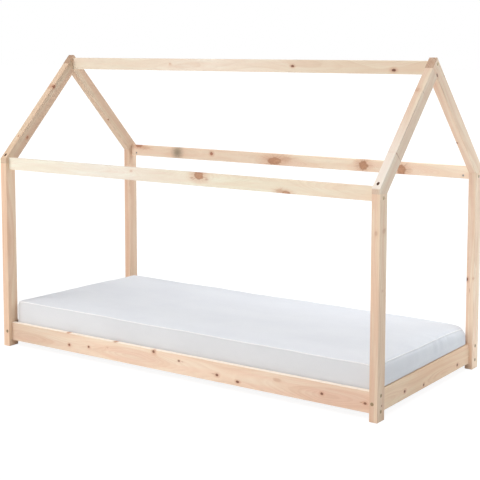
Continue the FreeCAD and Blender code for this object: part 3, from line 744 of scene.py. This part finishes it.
def piping(name, loop, radius, lift):
    """The sewn cord round an edge of the cover, as a closed tube along the edge's own points."""
    base = get_co(mattress.data)
    path = base[loop]
    mid = np.array([0.0, 0.0, (MZ0 + MZ1) / 2])
    keep = [0]
    for i in range(1, len(path)):
        if np.linalg.norm(path[i] - path[keep[-1]]) > 0.0045:
            keep.append(i)
    path = path[keep]
    n = len(path)
    tan = np.roll(path, -1, 0) - np.roll(path, 1, 0)
    tan /= np.linalg.norm(tan, axis=1)[:, None]
    zup = np.array([0.0, 0.0, 1.0 if path[:, 2].mean() > mid[2] else -1.0])
    out = np.cross(tan, np.array([0.0, 0.0, 1.0]))
    out /= np.linalg.norm(out, axis=1)[:, None]
    sign = np.where((out * (path - mid)).sum(1) > 0, 1.0, -1.0)
    out *= sign[:, None]
    diag = out + zup
    diag /= np.linalg.norm(diag, axis=1)[:, None]
    c = path + diag * lift
    sides = 8
    other = np.cross(tan, diag)
    verts = []
    for i in range(n):
        for s in range(sides):
            a = 2 * math.pi * s / sides
            verts.append(c[i] + radius * (math.cos(a) * diag[i] + math.sin(a) * other[i]))
    quads = []
    for i in range(n):
        j = (i + 1) % n
        for s in range(sides):
            t = (s + 1) % sides
            quads.append((i * sides + s, j * sides + s, j * sides + t, i * sides + t))
    ob = new_mesh(name, verts, quads, trim)
    bm = bmesh.new()
    bm.from_mesh(ob.data)
    bmesh.ops.recalc_face_normals(bm, faces=bm.faces)
    bm.to_mesh(ob.data)
    bm.free()
    return ob


seams = [piping("mattress_seam_top", rings[0], 0.0024, 0.0008), piping("mattress_seam_bottom", rings[1], 0.0012, 0.0)]
for ob in [mattress, *seams]:
    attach(ob, "root")
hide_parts("mattress")


# ------------------------------------------------------------------ floor and light
def floor_paper():
    """White paper, lit so strongly that the camera sees it nearly evenly white, with soft shadows near the bed."""
    k = Tree("floor_paper")
    mm = k.vec("SCALE", k.p, scale=1000.0)
    mottle = k.noise(k.vec("MULTIPLY", mm, (1 / 600.0, 1 / 600.0, 1.0)), 2.0)
    k.put(k.bsdf.inputs["Base Color"], k.mix(k.ramp(mottle, 0.3, 0.7), srgb(244, 244, 244), srgb(248, 248, 248)))
    k.bsdf.inputs["Roughness"].default_value = 0.9
    k.bsdf.inputs["Specular IOR Level"].default_value = 0.1
    far = k.ramp(k.vec("LENGTH", k.vec("MULTIPLY", k.p, (1.0, 1.0, 0.0))), 1.6, 5.0, 0.81, 1.0)
    seen = k.t.nodes.new("ShaderNodeLightPath").outputs["Is Camera Ray"]
    glow = k.t.nodes.new("ShaderNodeEmission")
    glow.inputs[0].default_value, glow.inputs[1].default_value = (1.0, 1.0, 1.0, 1.0), 1.12
    both = k.t.nodes.new("ShaderNodeMixShader")
    k.put(both.inputs[0], k.math("MULTIPLY", far, seen))
    k.t.links.new(k.bsdf.outputs[0], both.inputs[1])
    k.t.links.new(glow.outputs[0], both.inputs[2])
    k.t.links.new(both.outputs[0], k.out.inputs[0])
    return k.mat


floor = new_mesh("floor", [(-60, -60, -0.0005), (60, -60, -0.0005), (60, 60, -0.0005), (-60, 60, -0.0005)], [(0, 1, 2, 3)], floor_paper())

world = bpy.data.worlds.new("studio")
scene.world = world
world.use_nodes = True
wt = world.node_tree
wt.nodes.clear()
w_out = wt.nodes.new("ShaderNodeOutputWorld")
w_seen, w_light = wt.nodes.new("ShaderNodeBackground"), wt.nodes.new("ShaderNodeBackground")
w_mix, w_path = wt.nodes.new("ShaderNodeMixShader"), wt.nodes.new("ShaderNodeLightPath")
w_seen.inputs[0].default_value, w_seen.inputs[1].default_value = (1.0, 1.0, 1.0, 1.0), 1.0
w_light.inputs[0].default_value, w_light.inputs[1].default_value = (0.98, 0.99, 1.0, 1.0), 0.20
wt.links.new(w_path.outputs["Is Camera Ray"], w_mix.inputs[0])
wt.links.new(w_light.outputs[0], w_mix.inputs[1])
wt.links.new(w_seen.outputs[0], w_mix.inputs[2])
wt.links.new(w_mix.outputs[0], w_out.inputs[0])


def lamp(name, kind, energy, colour, way=None, place=None, **more):
    data = bpy.data.lights.new(name, kind)
    data.energy, data.color = energy, colour
    for key, value in more.items():
        setattr(data, key, value)
    ob = bpy.data.objects.new(name, data)
    scene.collection.objects.link(ob)
    if place is not None:
        ob.location = place
    ob.rotation_mode = "QUATERNION"
    ob.rotation_quaternion = Vector(way).to_track_quat("-Z", "Y")
    ob.visible_camera = False
    return ob


lamp("top_soft", "SUN", 0.77, (0.98, 0.99, 1.0), way=(0.02, 0.10, -1.0), angle=math.radians(45))
lamp("top_front", "SUN", 1.09, (1.0, 0.99, 0.975), way=(0.15, 0.55, -1.0), angle=math.radians(50))
lamp("front_low", "SUN", 0.88, (1.0, 0.975, 0.94), way=(0.25, 1.0, -0.1), angle=math.radians(50))
lamp("left_near", "AREA", 14.0, (1.0, 0.975, 0.94), way=(1.3, 2.2, -0.6), place=(-2.2, -2.6, 1.3), shape="RECTANGLE", size=1.6, size_y=1.6)
lamp("back_top", "AREA", 43.0, (0.95, 0.98, 1.0), way=(-0.3, -1.6, -2.2), place=(0.8, 1.9, 2.6), shape="RECTANGLE", size=2.4, size_y=1.2)
lamp("right_back", "AREA", 16.5, (0.84, 0.955, 1.0), way=(-1.4, -1.0, -0.6), place=(2.5, 1.9, 1.0), shape="RECTANGLE", size=1.4, size_y=1.4)

scene.view_settings.view_transform = "Standard"
scene.view_settings.look = "None"
scene.view_settings.exposure = 0.0
scene.view_settings.gamma = 1.0

# ------------------------------------------------------------------ camera
AZ, EL, ROLL, DIST = 0.60621, 0.10155, 0.00123, 5.36891
AIM = Vector((0.04131, 0.0, 0.93029))
FOCAL_PX, CY = 1143.07, 163.2
back = Vector((math.sin(AZ) * math.cos(EL), -math.cos(AZ) * math.cos(EL), math.sin(EL)))
right = (-back).cross(Vector((0, 0, 1))).normalized()
up = right.cross(-back)
r2 = math.cos(ROLL) * right + math.sin(ROLL) * up
u2 = -math.sin(ROLL) * right + math.cos(ROLL) * up
cam_data = bpy.data.cameras.new("camera")
cam = bpy.data.objects.new("camera", cam_data)
scene.collection.objects.link(cam)
cam.matrix_world = Matrix((
    (r2.x, u2.x, back.x, AIM.x + back.x * DIST),
    (r2.y, u2.y, back.y, AIM.y + back.y * DIST),
    (r2.z, u2.z, back.z, AIM.z + back.z * DIST),
    (0, 0, 0, 1)))
cam_data.sensor_width = 36.0
cam_data.lens = FOCAL_PX / 480.0 * 36.0
cam_data.shift_x = 0.0
cam_data.shift_y = (CY - 240.0) / 480.0
cam_data.clip_start, cam_data.clip_end = 0.05, 200.0
scene.camera = cam
